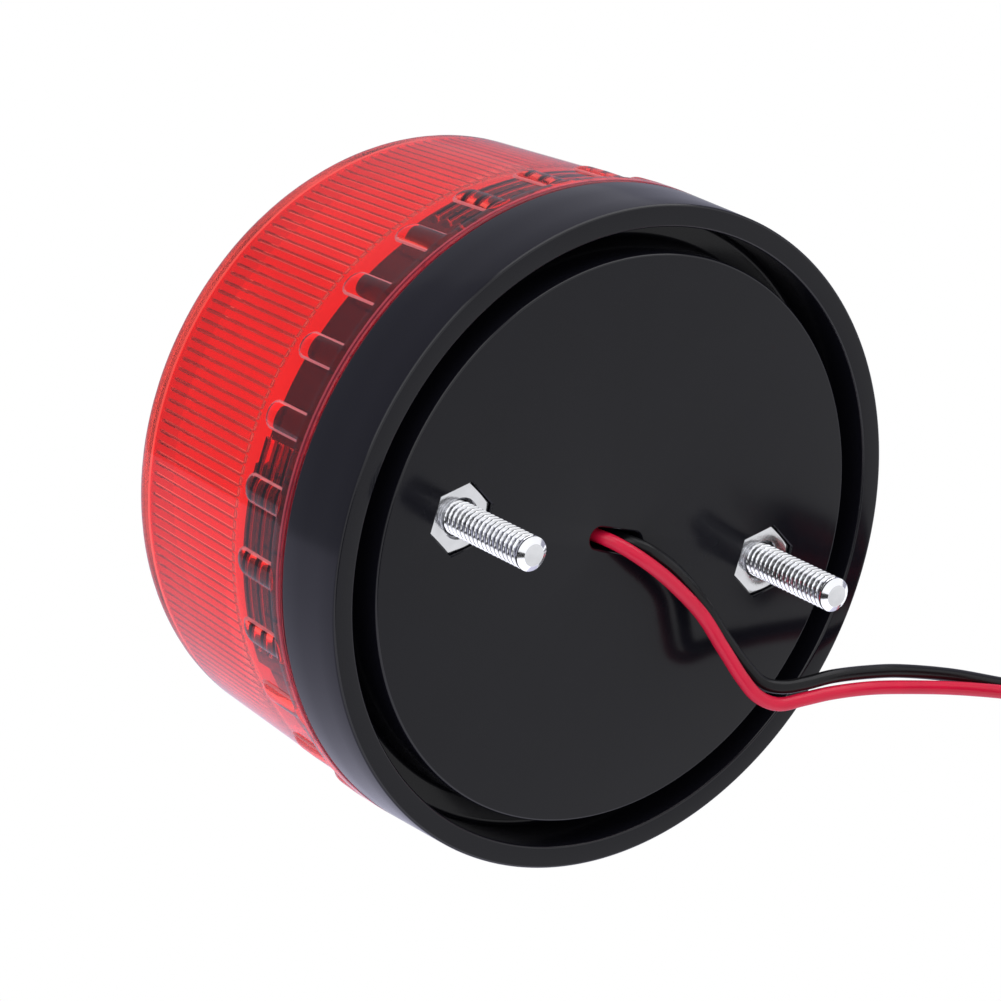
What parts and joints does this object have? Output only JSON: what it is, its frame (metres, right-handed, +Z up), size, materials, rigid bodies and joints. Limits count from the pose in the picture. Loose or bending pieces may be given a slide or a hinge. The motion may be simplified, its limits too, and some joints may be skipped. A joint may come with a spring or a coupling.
{
  "type": "strobe beacon",
  "caption": "Round strobe warning beacon with a ribbed red twist-off lens on a black base, two threaded mounting studs with nuts and a pair of flying leads.",
  "frame": {"origin": "centre of the mounting plane, on the lower face of the base rim", "axes": "+Z up through the lens, studs point along -Z and lie on the X axis"},
  "size_m": [0.1001, 0.072, 0.076],
  "materials": {
    "black_plastic": "satin moulded",
    "red_lens": "clear red moulded",
    "zinc_steel": "zinc plated",
    "board": "lacquered",
    "tube_glass": "clear",
    "wire_metal": "tinned",
    "winding": "tape wrapped",
    "capacitor_sleeve": "shrink sleeve",
    "film_coating": "dipped",
    "ferrite": "matte",
    "package_black": "moulded",
    "resistor_body": "lacquered",
    "red_insulation": "soft satin",
    "black_insulation": "soft satin"
  },
  "bodies": {
    "base_unit": {"base": "black_plastic", "mounting_screws": "zinc_steel", "hex_nuts": "zinc_steel", "circuit_board": "board", "board_screws": "zinc_steel", "flash_tube": "tube_glass", "tube_pins": "wire_metal", "trigger_wire": "wire_metal", "trigger_transformer": "winding", "storage_capacitor": "capacitor_sleeve", "film_capacitor": "film_coating", "transformer_core": "ferrite", "transformer_winding": "winding", "switching_transistor": "package_black", "thyristor": "package_black", "diodes": "package_black", "resistors": "resistor_body", "red_lead": "red_insulation", "black_lead": "black_insulation", "lead_coil": "red_insulation", "lead_tie": "black_insulation", "lead_ends": "wire_metal"},
    "lens_cap": {"lens": "red_lens"}
  },
  "joints": [
    {"name": "lens_twist", "type": "hinge", "parent": "base_unit", "child": "lens_cap", "pos_m": [0, 0, 0.0086], "axis": [0, 0, 1], "range_deg": [0, 40]}
  ]
}
